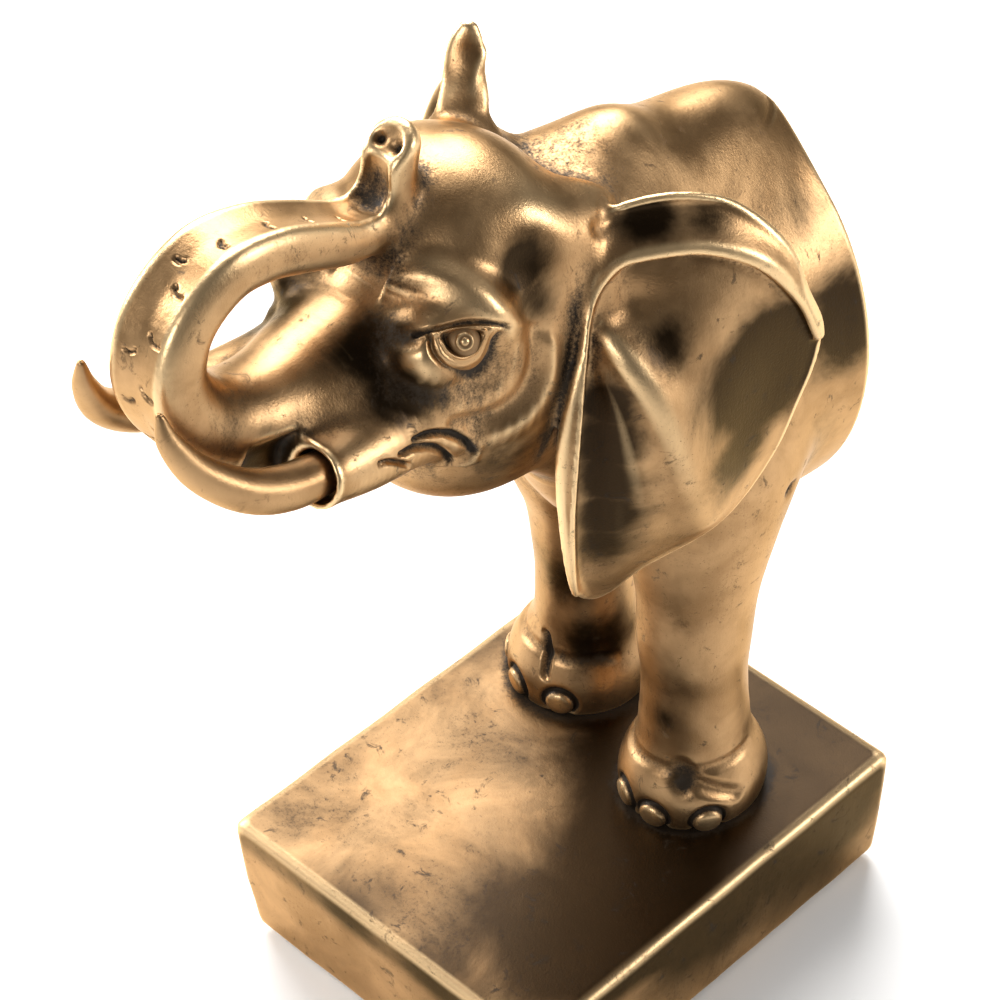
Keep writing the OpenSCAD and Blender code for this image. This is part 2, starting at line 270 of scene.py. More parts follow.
class Sculpture:
    """The field, and for every point the part that it belongs to. X runs evenly both ways from 0."""

    def __init__(self, low, high, step):
        half = int(math.ceil(max(-low[0], high[0]) / step))
        self.step = step
        self.low = np.array([-half * step, low[1], low[2]])
        self.size = np.ceil((np.array(high) - self.low) / step).astype(int) + 1
        self.size[0] = 2 * half + 1
        self.field = np.full(self.size, FAR, np.float32)
        self.part = np.zeros(self.size, np.int8)

    def patches(self, form, soft, both):
        """The slices of the grid that a form reaches and its distances there, and their mirror image."""
        margin = soft + REACH
        first = np.clip(np.floor((form.low - margin - self.low) / self.step).astype(int), 0, self.size)
        last = np.clip(np.ceil((form.high + margin - self.low) / self.step).astype(int) + 1, 0, self.size)
        axes = [self.low[k] + self.step * np.arange(first[k], last[k]) for k in range(3)]
        points = np.stack(np.meshgrid(*axes, indexing="ij"), -1).astype(np.float32)
        value = form(points).astype(np.float32)
        x, y, z = (slice(a, b) for a, b in zip(first, last))
        yield (x, y, z), value
        if both:
            yield (slice(self.size[0] - x.stop, self.size[0] - x.start), y, z), value[::-1]

    def add(self, form, soft, part, both=False):
        for where, value in self.patches(form, soft, both):
            here = self.field[where]
            self.part[where][value < here] = part
            self.field[where] = join(here, value, soft)

    def cut(self, form, soft, both=False):
        for where, value in self.patches(form, soft, both):
            self.field[where] = -join(-self.field[where], value, soft)

    def sample(self, points):
        """The field between grid points."""
        q = np.clip((points - self.low) / self.step, 0, self.size - 1.001)
        i = q.astype(int)
        f = q - i
        total = 0
        for corner in np.ndindex(2, 2, 2):
            share = np.abs(1 - np.array(corner) - f).prod(1)
            total = total + share * self.field[tuple((i + corner).T)]
        return total

    def slope(self, points, reach):
        """The direction in which the field rises, which is the surface's outward normal."""
        steps = reach * np.eye(3)
        g = np.stack([self.sample(points + d) - self.sample(points - d) for d in steps], -1)
        return g / (np.linalg.norm(g, axis=1, keepdims=True) + 1e-9)

    def skin(self):
        """A closed mesh of four-sided faces over the surface, one point in each crossed cell."""
        f = self.field
        inside = f < 0
        cells = self.size - 1
        corner = np.array(list(np.ndindex(2, 2, 2)))
        count = np.zeros(cells, np.int8)
        for c in corner:
            count += inside[tuple(slice(a, a + n) for a, n in zip(c, cells))]
        cell = np.argwhere((count > 0) & (count < 8))
        value = [f[tuple((cell + c).T)] for c in corner]
        total = np.zeros((len(cell), 3))
        hits = np.zeros(len(cell))
        for a, b in np.argwhere(np.abs(corner[:, None] - corner).sum(-1) == 1):
            if a < b:
                crossed = (value[a] < 0) != (value[b] < 0)
                t = np.where(crossed, value[a] / np.where(crossed, value[a] - value[b], 1), 0)
                total += np.where(crossed[:, None], corner[a] + t[:, None] * (corner[b] - corner[a]), 0)
                hits += crossed
        points = self.low + self.step * (cell + total / hits[:, None])
        flat = np.ravel_multi_index(cell.T, cells)
        faces = []
        for axis in range(3):
            one, two = (axis + 1) % 3, (axis + 2) % 3
            low = [slice(1, -1)] * 3
            low[axis] = slice(0, -1)
            high = list(low)
            high[axis] = slice(1, None)
            a, b = inside[tuple(low)], inside[tuple(high)]
            edge = np.argwhere(a != b)
            rising = a[tuple(edge.T)]
            edge += np.arange(3) != axis
            quad = []
            for s1, s2 in ((-1, -1), (0, -1), (0, 0), (-1, 0)):
                c = edge.copy()
                c[:, one] += s1
                c[:, two] += s2
                quad.append(np.searchsorted(flat, np.ravel_multi_index(c.T, cells)))
            quad = np.stack(quad, 1)
            faces.append(np.where(rising[:, None], quad, quad[:, ::-1]))
        return points, np.vstack(faces)


# ---------------------------------------------------------------- the elephant's forms

# Rows of a limb: x, y, z, half width, half height.
TRUNK_ROWS = [
    (0, -28, 184, 22, 23), (0, -45, 186, 18.5, 18), (0, -60, 187, 14.5, 13.5),
    (0, -73, 189, 11.2, 10.2), (0, -85, 193.8, 9.4, 8.6), (0, -92.5, 201.5, 8.7, 7.6),
    (0, -95.5, 211.5, 8.3, 7.0), (0, -92, 220.8, 8.1, 6.6), (0, -83, 226, 7.9, 6.3),
    (0, -73, 224.8, 7.5, 5.9), (0, -63, 220.4, 7.0, 5.5), (0, -54, 216, 6.4, 4.9),
    (0, -47.5, 215.5, 5.8, 4.6), (0, -43, 220, 5.0, 4.3), (0, -40.6, 228, 4.8, 4.6)]
LEFT_LEG_ROWS = [
    (19, 25, 126, 14.5, 16.5), (19, 21.5, 110, 13.2, 14.2), (18.8, 20, 95, 12.0, 12.8),
    (18.5, 19.4, 80, 11.6, 12.2), (18.2, 20, 70, 11.0, 11.2), (18, 20.4, 61, 11.0, 11.5),
    (17.8, 20.8, 54, 11.4, 12.0), (17.8, 21, 48, 11.2, 11.8), (17.8, 21, 42, 12, 12.8)]
RIGHT_LEG_ROWS = [
    (-19, 27, 124, 15, 18), (-19, 26.5, 108, 13.2, 16), (-19, 26.6, 94, 12.0, 13.4),
    (-19.2, 27, 80, 11.2, 12), (-19.5, 27.4, 70, 10.8, 11), (-19.8, 27.9, 61, 10.8, 11.2),
    (-20.2, 28.4, 54, 11.1, 11.6), (-20.6, 28.6, 48, 11.2, 11.8), (-20.8, 28.6, 42, 12, 12.6)]
SOLE_Z = 34.0
BACK_Y = 55.0
# Rows of a tusk's sheath: x, y, z, radius.
SHEATH_ROWS = [(11, -50, 180, 9.5), (14, -64, 182, 7.4), (15.4, -74, 184.2, 6.0), (15.7, -77.6, 185.2, 6.0)]
SHEATH_MOUTH = np.array([15.7, -77.6, 185.2])
SHEATH_AIM = np.array([0.03, -0.95, 0.3])
TRUNK_TIP = np.array([0, -42.2, 229.2])
TRUNK_TIP_AIM = np.array([0, -0.64, 0.77])


def add_body(s):
    s.add(Egg((0, 58, 136.5), (31.5, 60, 45)), 0, BODY)
    s.add(Egg((0, 24, 143), (28.5, 33, 40)), 10, BODY)
    s.add(Egg((0, 13, 181), (15, 17, 23), (4, 0, 0)), 12, BODY)
    s.add(Egg((0, 34, 176), (14, 26, 19)), 10, BODY)
    s.add(Egg((18.5, 21, 118), (12.5, 13.5, 26), (0, 6, 0)), 10, BODY, both=True)
    s.add(Egg((0, -4, 166), (23, 26, 30)), 12, BODY)
    s.add(Egg((0, -3, 189), (18, 14, 10.5)), 10, BODY)


def add_legs(s):
    for rows, foot, half, part in (
        (LEFT_LEG_ROWS, (18, 20.5), (14.9, 16.2), LEFT_LEG),
        (RIGHT_LEG_ROWS, (-22.2, 28.4), (15.6, 15.8), RIGHT_LEG),
    ):
        s.add(Limb(rows, count=110), 8, part)
        s.add(Egg((foot[0], foot[1], SOLE_Z + 4), (half[0], half[1], 14)), 6, part)


# The ear lies over an upright plane that turns out from the head: u runs back and
# outwards along it, v runs up, and the sheet bends away from it.
EAR_TURN = math.radians(34)
EAR_ROOT = np.array([22, -16, 165], np.float32)
EAR_BACK = np.array([math.sin(EAR_TURN), math.cos(EAR_TURN), 0], np.float32)
EAR_OUT = np.array([math.cos(EAR_TURN), -math.sin(EAR_TURN), 0], np.float32)
EAR_EDGE = [
    (1.5, 34.5), (5, 40), (13.5, 42.2), (22.5, 40.8), (31, 36), (38.6, 27.5), (42.4, 17), (46, 6.5),
    (45.5, -3), (42, -13), (38, -23), (31, -32), (22, -36.5), (10, -39.5), (4.5, -47), (0, -48),
    (-4, -41), (-7.2, -28), (-8.8, -12), (-8.6, 0), (-6.5, 10), (-2.5, 22)]
FAR_EAR_TOP = [(0.5, 37), (4, 46), (9, 51.2), (16, 50), (27, 41.5)]
EAR_FOLD = [
    (-2, -44), (-4.6, -36), (-5.8, -24), (-6, -12), (-5, 0), (-3.4, 11), (-1.6, 21), (0.4, 28), (4.6, 31.8),
    (12, 33), (22, 32), (32, 26.6), (40, 15.6), (44.6, 4)]
# Ribs: the curve, how far it stands out, and its width at each end.
EAR_RIBS = [
    ([(1.5, 22), (5, 17.5), (9, 11), (12.5, 3), (15.5, -6), (18.5, -16), (22.5, -28)], 3.7, 1.9, 4.6),
    ([(1.5, 14), (4, 6), (6, -4), (8, -15), (10, -27)], 0.4, 1.0, 2.0)]
FAR_EAR_RISE = [
    (-15, -10, 206, 4.8, 2.4), (-17, -7, 210.5, 4.6, 2.1), (-18.9, -5, 213.6, 4.0, 1.8),
    (-20, -3.4, 217.4, 3.6, 1.5), (-20.4, -2.4, 220.2, 2.8, 1.4), (-20.5, -2, 221.6, 2.0, 1.3)]
EAR_HALF_THICKNESS = 0.85


def ear_height(points, edge):
    """How far the ear's sheet stands out from its plane."""
    u, v = points[:, 0], points[:, 1]
    tall = v - 0.5 * np.maximum(v - 38, 0)
    w = 9.9 + u / 20 - tall / 5.2 + u * tall / 200 - u * u / 113 - tall**2 / 123
    fold = smooth_curve(EAR_FOLD, 70)
    over = edge_distance(points, np.vstack([fold, [(60, 4), (60, -70), (-2, -70)]]))
    along = line_distance(points, EAR_FOLD)[1]
    fade = ramp(0, 0.1, along) * (1 - ramp(0.82, 1.0, along))
    w += 3.2 * ramp(-1.5, 0.7, over) * fade
    w += 1.0 * bell(over - 1.2, 1.1) * fade
    w -= 1.7 * bell(over - 6.3, 2.6) * (over > 0) * fade
    below = ramp(0.5, -1.5, over)
    for rows, rise, start, end in EAR_RIBS:
        gap, along_rib = line_distance(points, rows)
        w += rise * bell(gap, start + (end - start) * along_rib) * (1 - 0.3 * along_rib) * below
    w -= 4.2 * bell(np.hypot((u - 34) / 9.5, (v + 3) / 15), 1) * below
    w -= 3.0 * bell(np.hypot((u - 4) / 7, (v - 23) / 3.4), 1) * below
    w -= 2.8 * bell(np.hypot((u + 1.5) / 3.4, (v + 6) / 20), 1) * below
    w += 0.5 * bell(edge + 0.5, 0.7)
    return w


class EarSheet:
    """An ear's thin sheet, from tables of its height and outline over its plane. side is 1 on the left."""

    grid = 0.4
    u_low, u_high, v_low, v_high = -14, 51, -54, 60

    def __init__(self, side, outline):
        self.side = side
        u = np.arange(self.u_low, self.u_high, self.grid)
        v = np.arange(self.v_low, self.v_high, self.grid)
        points = np.stack(np.meshgrid(u, v, indexing="ij"), -1).reshape(-1, 2)
        edge = edge_distance(points, closed_curve(outline, 110))
        self.edge = edge.reshape(len(u), len(v))
        self.height = ear_height(points, edge).reshape(len(u), len(v))
        across, up = np.gradient(self.height, self.grid)
        self.lean = np.sqrt(1 + across**2 + up**2)
        corners = np.array([self.place(a, b, c) for a in (-10, 47) for b in (-50, 57) for c in (-20, 17)])
        corners[:, 0] *= side
        self.low = corners.min(0)
        self.high = corners.max(0)

    def place(self, u, v, w):
        return EAR_ROOT + EAR_BACK * u + np.array([0, 0, v]) + EAR_OUT * w

    def look_up(self, table, u, v):
        a = np.clip((u - self.u_low) / self.grid, 0, table.shape[0] - 1.001)
        b = np.clip((v - self.v_low) / self.grid, 0, table.shape[1] - 1.001)
        i, j = a.astype(int), b.astype(int)
        a, b = a - i, b - j
        return (
            table[i, j] * (1 - a) * (1 - b) + table[i + 1, j] * a * (1 - b)
            + table[i, j + 1] * (1 - a) * b + table[i + 1, j + 1] * a * b
        )

    def __call__(self, p):
        q = p * np.array((self.side, 1, 1), np.float32) - EAR_ROOT
        u, v, w = q @ EAR_BACK, q[..., 2], q @ EAR_OUT
        gap = np.abs(w - self.look_up(self.height, u, v)) / self.look_up(self.lean, u, v)
        sheet = gap - EAR_HALF_THICKNESS
        return -join(-sheet, -self.look_up(self.edge, u, v), 1.2)


class Trunk(Limb):
    """The trunk, with the flat strip on its outer side and the channel under its tip."""

    def __init__(self):
        super().__init__(TRUNK_ROWS, count=110, back=2.6, split=60)

    def carve(self, across, up, along):
        outer = ramp(0.15, 0.75, -up)
        strip = bell(across, 0.36) * ramp(44, 58, along)
        ridge = bell(np.abs(across) - 0.72, 0.14) * ramp(38, 55, along)
        channel = bell(across, 0.42) * bell(along - 140, 6)
        return outer * (1.3 * strip - 0.5 * ridge + 2.6 * channel)


def add_head(s):
    s.add(Egg((0, -29, 199), (22.5, 21, 21.5)), 6, HEAD)
    s.add(Egg((0, -28, 174), (24, 24, 28), (-20, 0, 0)), 10, HEAD)
    s.add(Egg((14, -14, 199), (8, 12, 10)), 7, HEAD, both=True)
    s.add(Egg((21, -12, 184), (5, 7, 15)), 5, HEAD, both=True)
    s.add(Trunk(), 6, TRUNK)
    s.add(Egg((16.6, -45.5, 197.5), (7, 9.5, 7)), 8, HEAD, both=True)
    s.add(Crease(SHEATH_ROWS), 5, HEAD, both=True)
    s.add(EarSheet(1, EAR_EDGE), 2.0, LEFT_EAR)
    s.add(EarSheet(-1, FAR_EAR_TOP + EAR_EDGE[5:]), 2.0, RIGHT_EAR)
    s.add(Limb(FAR_EAR_RISE, count=20, side=(0.72, 0.70, 0)), 2.5, RIGHT_EAR)


def cut_mouths(s):
    """Cuts the trunk's end off flat, and cuts the sheaths off square and hollows them for the tusks."""
    s.cut(Disc(TRUNK_TIP + 4 * TRUNK_TIP_AIM, TRUNK_TIP_AIM, radius=9, half=4), 1.2)
    s.cut(Egg(TRUNK_TIP + 0.7 * TRUNK_TIP_AIM, (3.6, 3.2, 1.5), (40, 0, 0)), 0.6)
    s.cut(Disc(SHEATH_MOUTH + 5 * SHEATH_AIM, SHEATH_AIM, radius=8.5, half=5), 0.8, both=True)
    s.cut(Disc(SHEATH_MOUTH, SHEATH_AIM, radius=4.9, half=5), 0.6, both=True)


def sculpt(step):
    s = Sculpture((-50, -108, SOLE_Z - 6), (50, 60, 240), step)
    add_body(s)
    add_legs(s)
    add_head(s)
    cut_mouths(s)
    s.cut(Slab((0, 1, 0), BACK_Y), 1.0)
    s.cut(Slab((0, 0, -1), -SOLE_Z), 0.6)
    return s


# ---------------------------------------------------------------- fine detail
# Small grooves, ridges and nails are drawn on the finished skin, where its mesh is made finer.

# Where the mesh is made finer: centre and radius. The second table is made finer twice.
FINE_SPOTS = [
    ((21, -48, 198), 14.5), ((-21, -48, 198), 14.5), ((20, -55, 178), 12), ((-20, -55, 178), 12),
    ((22, 10, 42), 17), ((-24, 20, 42), 19), ((0, -43, 226), 13),
    ((0, -96, 212), 15), ((0, -90, 222), 13), ((0, -76, 228), 13), ((0, -62, 222), 13)]
FINEST_SPOTS = [((22, -48, 200), 8.5), ((-22, -48, 200), 8.5)]

# The eye is drawn on a small flat frame of its own: a runs back, b runs up.
EYE_MIDDLE = np.array([23.2, -47.4, 201.2])
EYE_BACK = np.array([0.716, 0.698, -0.017])
EYE_UP = np.array([-0.468, 0.497, 0.730])
EYE_LID_CREASE = [(-9.4, 1.4), (-6.0, 2.2), (-2.9, 3.0), (0.0, 3.5), (2.9, 3.5), (6.1, 3.2)]
EYE_UPPER_LID = [(-6.5, 0.7), (-4.2, 1.6), (-1.6, 2.0), (1.1, 2.0), (3.0, 2.0)]
EYE_LOWER_LID = [(-4.2, 1.4), (-3.7, -0.1), (-2.7, -1.7), (-0.6, -2.7), (1.6, -1.9), (2.7, -0.1), (3.1, 1.7)]
EYE_BAG = [
    (-6.3, 1.0), (-6.2, -0.9), (-5.2, -3.0), (-2.9, -5.2), (0.2, -6.0), (2.9, -4.8), (4.9, -1.9),
    (5.8, 1.8)]
EYE_BROW = [(-13, 11.3), (-8, 11.6), (-2.8, 10.4), (2.3, 8), (5.4, 5.6)]
EYE_POUCH = [(-12.2, -8.6), (-5.8, -9.7), (0.7, -9.4), (5.0, -6.8), (7.9, -2.2), (8.2, 2.9)]
CHEEK_FOLD = [(12.2, 2.2), (12.2, -3.6), (9.7, -9.0), (5.0, -12.2), (-1.4, -14.0)]
CHEEK_RIDGE = [(14.4, 0.0), (14.0, -5.8), (10.8, -11.5), (5.0, -15.1), (-2.2, -16.9)]
MOUTH_CUTS = [
    ([(-8.6, -16.6), (-6.5, -15.6), (-3.6, -15.4), (-0.7, -16.3), (0.9, -17.7)], 1.5),
    ([(-10.9, -19.2), (-9.0, -18.1), (-6.8, -17.8), (-4.7, -18.2), (-3.3, -19.6)], 1.5),
    ([(-14.5, -20.7), (-12.6, -20.4), (-10.2, -21.0)], 1.1)]
MOUTH_RIDGE = [(1.2, -17.3), (0.9, -19.4), (-1.8, -20.9), (-6.1, -21.6)]


def line_mark(points, rows, width, count=40):
    """1 on a curve and 0 at `width` from it."""
    return 1 - ramp(0, width, line_distance(points, rows, count)[0])


class Chisel:
    """Collects how far each point of the skin is to be moved outwards, how dark it is stained, and how much
    painted shade, partly patina, darkens it.
    """

    def __init__(self, points):
        self.points = points
        self.height = np.zeros(len(points))
        self.ink = np.zeros(len(points))
        self.tone = np.zeros(len(points))

    def within(self, centre, radius):
        return np.flatnonzero((np.abs(self.points - centre) < radius).all(1))

    def apply(self, which, height, ink=0):
        self.height[which] += height
        self.ink[which] += ink

    def stroke(self, rows, width, height, ink=0):
        """A groove or ridge along a curve in space."""
        rows = np.array(rows, float)
        middle = (rows.max(0) + rows.min(0)) / 2
        which = self.within(middle, (rows.max(0) - rows.min(0)).max() / 2 + width + 1)
        mark = line_mark(self.points[which], rows, width)
        self.apply(which, height * mark, ink * mark)

    # A broad dark patch of painted shade, partly patina; the strongest patch wins at each point.
    def shade(self, centre, radius, strength):
        which = self.within(centre, 2.5 * radius)
        gap = np.linalg.norm(self.points[which] - centre, axis=1)
        self.tone[which] = np.maximum(self.tone[which], strength * bell(gap, radius * 0.7))

    def nail(self, centre, radius=3.5):
        """A raised oval toenail with a dark groove round it."""
        which = self.within(centre, 3 * radius)
        d = np.linalg.norm(self.points[which] - centre, axis=1)
        dome = np.sqrt(np.clip(1 - (d / radius) ** 2, 0, 1))
        groove = bell(d - radius - 0.25, 0.5)
        self.apply(which, 0.9 * dome - 0.9 * groove, 1.5 * groove)

    def dimple(self, centre, radius, height, ink=0):
        which = self.within(centre, 2.5 * radius)
        mark = bell(np.linalg.norm(self.points[which] - centre, axis=1), radius * 0.6)
        self.apply(which, height * mark, ink * mark)

    def eye(self, side):
        """Brow, lids, bag and cheek folds round one eye."""
        middle = EYE_MIDDLE * (side, 1, 1)
        which = self.within(middle, 34)
        p = self.points[which] * (side, 1, 1)
        which = which[(p[:, 0] > 6) & (p[:, 1] > -68)]
        q = self.points[which] * (side, 1, 1) - EYE_MIDDLE
        flat = np.stack([q @ EYE_BACK, q @ EYE_UP], 1)
        a, b = flat.T
        opening = closed_curve(EYE_LOWER_LID + [(1.1, 2.2), (-1.6, 2.2)], 60)
        inside = ramp(0.35, -0.35, edge_distance(flat, opening))
        socket = 1 - ramp(4.5, 7.5, np.hypot(a * 0.92, b + 1.4))
        lid = line_mark(flat, EYE_LOWER_LID, 0.85)
        outer_lid = line_mark(flat, [(x * 1.33, y * 1.45 - 0.4) for x, y in EYE_LOWER_LID], 0.8)
        bag = line_mark(flat, EYE_BAG, 0.9)
        crease = line_mark(flat, EYE_LID_CREASE, 0.8)
        upper_lid = line_mark(flat, EYE_UPPER_LID, 0.7)
        brow = line_mark(flat, EYE_BROW, 6.0)
        pouch = line_mark(flat, EYE_POUCH, 3.4)
        inner = bell(np.hypot((a + 9.5) / 1.7, (b - 0.7) / 1.1), 1.3)
        height = 2.0 * brow - 0.8 * socket + 0.8 * pouch - 1.2 * inner
        height += 0.55 * lid * (1 - inside) + 0.3 * outer_lid - 0.8 * bag - 0.8 * crease + 0.35 * upper_lid
        height -= 1.5 * inside
        lid_foot = 1 - ramp(0, 0.25, np.abs(lid - 0.3))
        ink = 0.6 * bag + 0.7 * crease + 0.5 * inner + 0.7 * inside + 0.3 * lid_foot
        self.apply(which, height, ink)
        fold = line_mark(flat, CHEEK_FOLD, 2.8)
        ridge = line_mark(flat, CHEEK_RIDGE, 3.2)
        self.apply(which, 0.8 * ridge - 1.2 * fold, 0.22 * fold)
        for rows, width in MOUTH_CUTS:
            cut = line_mark(flat, rows, 0.75 * width)
            self.apply(which, -1.5 * cut, 0.9 * cut)
        self.apply(which, 0.8 * line_mark(flat, MOUTH_RIDGE, 1.8))


# Broad dark patches of painted shade and painted reflection of the dark studio, partly dark patina: centre,
# radius and strength. The first table is on both sides.
PAIRED_SHADES = [
    ((35, -8, 181), 7, 0.7), ((39.5, 13, 167), 15, 1.4), ((41, 8, 150), 10, 0.9),
    ((30, -19, 172), 7, 0.8), ((30, -19, 164), 8, 0.9), ((29.5, -19, 156), 8, 0.9),
    ((29, -18.5, 148), 8, 0.8), ((28, -18, 140), 8, 0.6), ((25, -3, 203), 6, 0.8),
    ((30, 6, 200), 6, 0.6), ((11, -57, 198), 9, 0.8), ((16, -57, 191), 8, 0.9),
    ((21, -30, 206), 6.5, 0.9), ((22, -29, 199), 6, 0.7), ((10, -80, 187), 9, 0.8),
    ((22, -34, 170), 9, 0.5), ((31, 48, 150), 14, 0.7), ((26, 44, 128), 12, 0.4),
    ((22, 46, 176), 10, 0.5), ((-14, 18, 72), 8, 0.6)]
LONE_SHADES = [((-12, 24, 54), 9, 0.7), ((21, 8, 62), 5, 0.6), ((25, 9, 47), 4, 0.5), ((24, 12, 92), 5, 0.3)]
# Small curved nicks across the trunk's strip: place along the trunk, side and size.
TRUNK_NOTCHES = [
    (49, 1, 1.1), (53, -1, 0.8), (57, 1, 1.2), (62, -1, 0.9), (65, 1, 1.2), (70, -1, 0.8), (73, 1, 1.1),
    (80, 1, 1.0), (84, -1, 0.6), (89, 1, 0.8), (98, 1, 0.9), (107, 1, 0.8), (116, 1, 0.7)]
NOTCH_SHAPE = [(0.9, 1.2), (0.1, 2.3), (0.2, 3.8)]
NECK_CREASES = [([(15, 1, 198), (18.5, -4, 203), (20.5, -12, 204)], 3.0, -0.6, 0.0)]
LEFT_NAILS = [(12.2, 5.6, 37.2), (21.0, 4.4, 37.0), (30.4, 11.6, 37.0)]
RIGHT_NAILS = [(-35.5, 20.5, 37), (-27, 13.4, 37), (-14.8, 14.0, 38)]
LEFT_ANKLE = [(7, 14, 48), (12, 9.2, 48), (18, 8, 48.5), (24, 10.4, 49), (29, 17.2, 49.5), (30, 25, 50)]
RIGHT_ANKLE = [(-33, 24, 48), (-29, 18, 48.5), (-21, 15.8, 49), (-13, 18, 49), (-9, 25, 48.5)]
LEFT_TOE_GROOVE = [(24.6, 9.4, 50.5), (28.5, 11.5, 46.5), (33, 17.5, 42.5)]
RIGHT_TOE_GROOVE = [(-21, 16.4, 53), (-19.8, 15.8, 49.5), (-18.8, 14.4, 44)]


def draw_details(points):
    chisel = Chisel(points)
    for side in (1, -1):
        chisel.eye(side)
        for rows, width, height, ink in NECK_CREASES:
            chisel.stroke([(side * x, y, z) for x, y, z in rows], width, height, ink)
        chisel.dimple((side * 1.9, -42, 228.7), 1.1, -1.3, 0.9)
        chisel.dimple((side * 21, -30, 206), 8, -2.2)
        chisel.dimple((side * 17, -22.5, 212), 8, 1.2)
        # Painted shade: broad dark patches, partly patina, on both sides.
        for place, radius, strength in PAIRED_SHADES:
            chisel.shade(np.array(place) * (side, 1, 1), radius, strength)
    # Painted shade: broad dark patches on the legs, partly patina.
    for place, radius, strength in LONE_SHADES:
        chisel.shade(np.array(place), radius, strength)
    for place in LEFT_NAILS + RIGHT_NAILS:
        chisel.nail(np.array(place))
    chisel.stroke(LEFT_ANKLE, 2.4, -0.5, 0.25)
    chisel.stroke(RIGHT_ANKLE, 2.4, -0.5, 0.25)
    chisel.stroke(LEFT_TOE_GROOVE, 3.0, -1.1, 0.3)
    chisel.stroke(RIGHT_TOE_GROOVE, 1.8, -1.4, 0.8)
    chisel.dimple((25.8, 8.8, 46.2), 2.6, -1.3, 0.9)
    chisel.dimple((34, 29, 122), 1.8, -1.2, 1.0)
    trunk = Trunk()
    which = np.flatnonzero((np.abs(points[:, 0]) < 13) & (points[:, 1] < -36) & (points[:, 2] > 178))
    near, u, v, w = trunk.locate(points[which].astype(np.float32))
    across, up, along = u / trunk.width[near], v / trunk.height[near], near * trunk.gap + w
    spot = np.stack([along, u], 1)
    outer = ramp(0.3, 0.7, -up)
    for start, side, size in TRUNK_NOTCHES:
        rows = [(start + shift * size, side * reach * size) for shift, reach in NOTCH_SHAPE]
        cut = line_mark(spot, rows, 0.62, 12) * outer
        chisel.apply(which, -0.6 * cut, 0.75 * cut)
    tip = bell(np.abs(along - 141), 4.5) * bell(across, 0.5) * outer
    chisel.apply(which, 0, 0.7 * tip)
    return chisel


# ---------------------------------------------------------------- materials


class Nodes:
    """Builds the nodes of one material. Any argument may be a number, a colour or another node's output."""

    def __init__(self, name):
        self.material = bpy.data.materials.new(name)
        self.material.use_nodes = True
        self.tree = self.material.node_tree
        self.shader = self.tree.nodes["Principled BSDF"]
        self.place = self.tree.nodes.new("ShaderNodeTexCoord").outputs["Object"]

    def plug(self, socket, value):
        if isinstance(value, bpy.types.NodeSocket):
            self.tree.links.new(value, socket)
        elif value is not None:
            socket.default_value = value

    def node(self, kind, inputs=(), **settings):
        """A new node with its settings, and its inputs by name."""
        node = self.tree.nodes.new("ShaderNode" + kind)
        for name, value in settings.items():
            setattr(node, name, value)
        for name, value in dict(inputs).items():
            self.plug(node.inputs[name], value)
        return node

    def set(self, **values):
        for name, value in values.items():
            self.plug(self.shader.inputs[name.replace("_", " ")], value)

    def math(self, operation, a, b=None, c=None, clamp=False):
        node = self.node("Math", enumerate((a, b, c)), operation=operation, use_clamp=clamp)
        return node.outputs[0]

    def attribute(self, name):
        return self.node("Attribute", attribute_name=name).outputs["Fac"]

    def stretch(self, scale, turn=(0, 0, 0)):
        """The place, scaled and turned, for grain that runs one way."""
        turn = [math.radians(v) for v in turn]
        return self.node("Mapping", {"Vector": self.place, "Scale": scale, "Rotation": turn}).outputs[0]

    def noise(self, size, detail, rough, where=None, twist=0.0):
        """Soft blotches about `size` millimetres across, from 0 to 1."""
        inputs = {"Vector": where or self.place, "Scale": 1000 / size}
        inputs.update({"Detail": detail, "Roughness": rough, "Distortion": twist})
        return self.node("TexNoise", inputs).outputs["Fac"]

    def cells(self, size):
        """0 at scattered spots, rising away from them."""
        return self.node("TexVoronoi", {"Vector": self.place, "Scale": 1000 / size}).outputs["Distance"]

    def rise(self, value, low, high, start=0.0, end=1.0):
        """Goes smoothly from start at low to end at high."""
        inputs = enumerate((value, low, high, start, end))
        return self.node("MapRange", inputs, interpolation_type="SMOOTHSTEP").outputs[0]

    def mix(self, share, a, b):
        """A colour between a and b."""
        a, b = (c if isinstance(c, bpy.types.NodeSocket) else (*c, 1) for c in (a, b))
        return self.node("Mix", data_type="RGBA", inputs={"Factor": share, 6: a, 7: b}).outputs[2]

    def bump(self, height, distance, strength, under=None):
        """The surface's normal, roughened by a height in millimetres."""
        inputs = {"Strength": strength, "Distance": distance * MM, "Height": height, "Normal": under}
        return self.node("Bump", inputs).outputs[0]


TAN = (0.33, 0.190, 0.085)
PALE_TAN = (0.52, 0.320, 0.155)
# Dark brown for painted shade and for random mottling.
SHADE_AND_MOTTLE_BROWN = (0.028, 0.016, 0.007)
# Bright gold of rubbed edges, which also paints edge highlights.
RUBBED_AND_HIGHLIGHT_GOLD = (0.80, 0.56, 0.30)
PATINA = (0.020, 0.014, 0.010)


